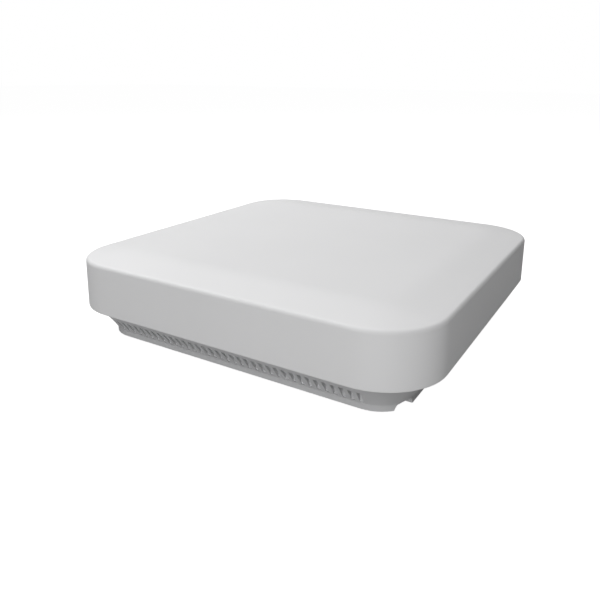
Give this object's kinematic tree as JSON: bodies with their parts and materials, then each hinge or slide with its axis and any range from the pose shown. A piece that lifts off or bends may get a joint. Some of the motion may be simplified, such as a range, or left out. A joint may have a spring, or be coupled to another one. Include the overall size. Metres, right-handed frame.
{
  "type": "ceiling access point",
  "caption": "Flat rounded-square wireless access point for a ceiling or wall, with a crowned cover, a vented base, a port bay and a spring release latch.",
  "frame": {"origin": "centre of the footprint, on the plane that the feet stand on", "axes": "+Z out of the cover's crown, +X towards the side with the cable notch, -Y towards the vented side nearest that notch"},
  "size_m": [0.2022, 0.2022, 0.0464],
  "materials": {
    "cover_plastic": "fine satin moulded",
    "base_plastic": "fine satin moulded",
    "screw_steel": "zinc plated",
    "foot_rubber": "matt",
    "board_laminate": "solder mask",
    "chip_resin": "moulded resin",
    "shield_tin": "tinned sheet",
    "pad_silicone": "soft silicone",
    "plate_aluminium": "stamped sheet",
    "contact_gold": "gold plated",
    "antenna_steel": "tinned stamping",
    "lead_jacket": "smooth jacket",
    "socket_plastic": "moulded",
    "button_plastic": "moulded",
    "lamp_resin": "clear resin",
    "pipe_clear": "clear moulded rod",
    "can_aluminium": "drawn can",
    "latch_plastic": "fine satin moulded",
    "spring_steel": "drawn wire",
    "lock_steel": "zinc plated sheet",
    "label_film": "blank film"
  },
  "bodies": {
    "housing": {"cover": "cover_plastic", "base": "base_plastic", "housing_screws": "screw_steel", "rubber_feet": "foot_rubber", "main_board": "board_laminate", "board_screws": "screw_steel", "board_chips": "chip_resin", "digital_shield_frame": "shield_tin", "digital_shield_lid": "shield_tin", "high_band_shield_frame": "shield_tin", "high_band_shield_lid": "shield_tin", "low_band_shield_frame": "shield_tin", "low_band_shield_lid": "shield_tin", "thermal_pads": "pad_silicone", "ground_plate": "plate_aluminium", "plate_standoffs": "contact_gold", "plate_screws": "screw_steel", "low_band_antenna_1": "antenna_steel", "low_band_antenna_2": "antenna_steel", "low_band_antenna_3": "antenna_steel", "high_band_antenna_1": "antenna_steel", "high_band_antenna_2": "antenna_steel", "high_band_antenna_3": "antenna_steel", "antenna_screws": "screw_steel", "antenna_lead_1": "lead_jacket", "antenna_lead_2": "lead_jacket", "antenna_lead_3": "lead_jacket", "antenna_lead_4": "lead_jacket", "antenna_lead_5": "lead_jacket", "antenna_lead_6": "lead_jacket", "coax_sockets": "contact_gold", "lan_jack_1": "shield_tin", "lan_jack_2": "shield_tin", "console_jack": "socket_plastic", "jack_contacts": "contact_gold", "power_jack": "socket_plastic", "power_jack_pin": "contact_gold", "reset_switch": "socket_plastic", "status_leds": "lamp_resin", "light_pipes": "pipe_clear", "lan_transformers": "chip_resin", "power_transformer": "chip_resin", "capacitors": "can_aluminium", "power_inductors": "chip_resin", "release_spring": "spring_steel", "slider_retainer": "lock_steel", "retainer_screws": "screw_steel", "lock_plate": "lock_steel", "rating_label": "label_film"},
    "release_latch": {"release_button": "latch_plastic"},
    "reset_stem": {"reset_button": "button_plastic"}
  },
  "joints": [
    {"name": "release_press", "type": "slide", "parent": "housing", "child": "release_latch", "axis": [1, 0, 0], "range_m": [0, 0.003], "stiffness_N_per_m": 400, "springref_m": -0.004, "deforming": ["release_spring"]},
    {"name": "reset_press", "type": "slide", "parent": "housing", "child": "reset_stem", "axis": [-1, 0, 0], "range_m": [0, 0.0003], "stiffness_N_per_m": 2000, "springref_m": -0.0005}
  ]
}
